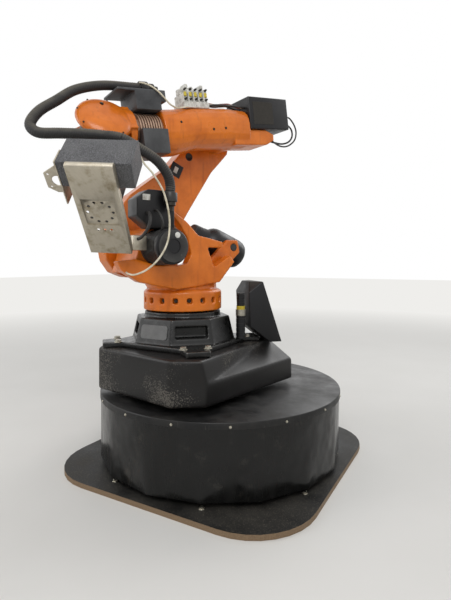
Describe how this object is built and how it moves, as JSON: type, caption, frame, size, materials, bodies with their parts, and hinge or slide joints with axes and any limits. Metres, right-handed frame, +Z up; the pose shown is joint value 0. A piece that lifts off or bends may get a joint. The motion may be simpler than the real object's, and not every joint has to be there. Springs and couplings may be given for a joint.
{
  "type": "industrial robot arm",
  "caption": "Articulated industrial robot arm in orange and black with a bent wrist, plate tool, counterbalance cylinder and dress hose, on a drum pedestal and floor plate.",
  "frame": {"origin": "centre of the floor plate's underside", "axes": "+Z up; X and Y along the floor plate's sides; at rest the arm reaches toward -Y and a little toward -X"},
  "size_m": [2, 2.5827, 3.0416],
  "materials": {
    "orange_paint": "gloss paint, worn",
    "black_paint": "satin to gloss black paint",
    "dark_grey_paint": "grainy powder coat",
    "motor_black": "satin black motor housing",
    "worn_black_steel": "brushed-on black, worn and scratched",
    "bare_aluminium": "bare, lightly scratched",
    "hose_rubber": "matt ribbed hose",
    "worn_collar_finish": "heat-darkened, ribbed"
  },
  "bodies": {
    "pedestal": {"floor_plate": "worn_black_steel", "drum_core": "worn_black_steel", "drum_skirt": "black_paint", "drum_top": "black_paint", "riser_spacer": "worn_black_steel", "riser_block": "worn_black_steel", "base_frame": "black_paint", "base_cover_panel": "dark_grey_paint", "terminal_box": "dark_grey_paint", "supply_plug": "dark_grey_paint"},
    "column": {"rotating_column": "orange_paint", "a2_motor": "motor_black", "a2_plug_block": "bare_aluminium", "junction_housing": "motor_black", "lower_hose_clamp": "motor_black"},
    "balancer": {"balancer_cylinder": "black_paint"},
    "balancer_piston": {"balancer_rod": "bare_aluminium"},
    "link": {"link_arm": "orange_paint", "link_hub_cover": "orange_paint", "dress_hose": "hose_rubber"},
    "arm": {"arm_casting": "orange_paint", "arm_collar": "worn_collar_finish", "collar_trough": "dark_grey_paint", "collar_bracket": "dark_grey_paint", "upper_hose_clamp": "motor_black", "wrist_motor_block": "motor_black"},
    "wrist": {"wrist_housing": "orange_paint"},
    "hand": {"wrist_hand": "black_paint"},
    "tool": {"mounting_flange": "bare_aluminium", "tool_adapter": "dark_grey_paint", "tool_channel": "bare_aluminium", "tool_box": "dark_grey_paint", "tool_side_plate": "bare_aluminium"}
  },
  "joints": [
    {"name": "a1_column_turn", "type": "hinge", "parent": "pedestal", "child": "column", "pos_m": [-0.2, -0.26, 1.21], "axis": [0, 0, 1], "range_deg": [-204.5, 165.5]},
    {"name": "a2_link_swing", "type": "hinge", "parent": "column", "child": "link", "pos_m": [-0.35068, -0.57591, 1.685], "axis": [0.9026, -0.4305, 0], "range_deg": [-10, 50], "deforming": ["dress_hose"]},
    {"name": "a3_arm_swing", "type": "hinge", "parent": "link", "child": "arm", "pos_m": [-0.01937, 0.1187, 2.67001], "axis": [-0.9026, 0.4305, 0], "range_deg": [-5, 90], "deforming": ["dress_hose"]},
    {"name": "a4_wrist_roll", "type": "hinge", "parent": "arm", "child": "wrist", "pos_m": [-0.48832, -0.86448, 2.51692], "axis": [-0.4263, -0.8938, -0.1392], "range_deg": [-5, 180]},
    {"name": "a5_hand_bend", "type": "hinge", "parent": "wrist", "child": "hand", "pos_m": [-0.48832, -0.86448, 2.51692], "axis": [0.6786, -0.4177, 0.6042], "range_deg": [-150, 5]},
    {"name": "a6_flange_turn", "type": "hinge", "parent": "hand", "child": "tool", "pos_m": [-0.48832, -0.86448, 2.51692], "axis": [0.2861, -0.6073, -0.7412], "range_deg": [-45, 180]},
    {"name": "balancer_swing", "type": "hinge", "parent": "column", "child": "balancer", "pos_m": [-0.03641, 0.08298, 1.7], "axis": [0.9026, -0.4305, 0], "range_deg": [-1, 2]},
    {"name": "balancer_stroke", "type": "slide", "parent": "balancer", "child": "balancer_piston", "axis": [-0.3989, -0.8363, 0.3762], "range_m": [-0.06, 0.27]}
  ],
  "couplings": [
    {"joint": "balancer_swing", "follows": "a2_link_swing", "ratio": 0.02},
    {"joint": "balancer_stroke", "follows": "a2_link_swing", "m_per_rad": 0.288}
  ]
}
